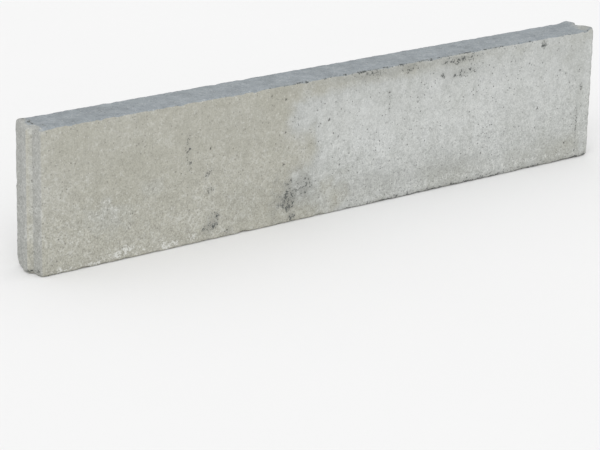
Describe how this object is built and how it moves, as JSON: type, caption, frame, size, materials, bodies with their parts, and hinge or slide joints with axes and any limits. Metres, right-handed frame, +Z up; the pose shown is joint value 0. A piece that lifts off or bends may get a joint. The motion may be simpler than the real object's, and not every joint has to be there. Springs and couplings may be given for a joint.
{
  "type": "kerb stone",
  "caption": "Long thin precast concrete edging kerb, standing on its narrow bed, with a tapered tongue down one end and a matching groove down the other.",
  "frame": {"origin": "centre of the bed face, halfway between the two end shoulders and between the front and back faces", "axes": "+X along the kerb from the tongue end to the groove end, +Y from the front face to the back face, +Z up from the bed to the top"},
  "size_m": [1.006, 0.06, 0.2],
  "materials": {
    "concrete": "fine-grained cast concrete, matt"
  },
  "bodies": {
    "root": {"kerb_stone": "concrete"}
  },
  "joints": []
}
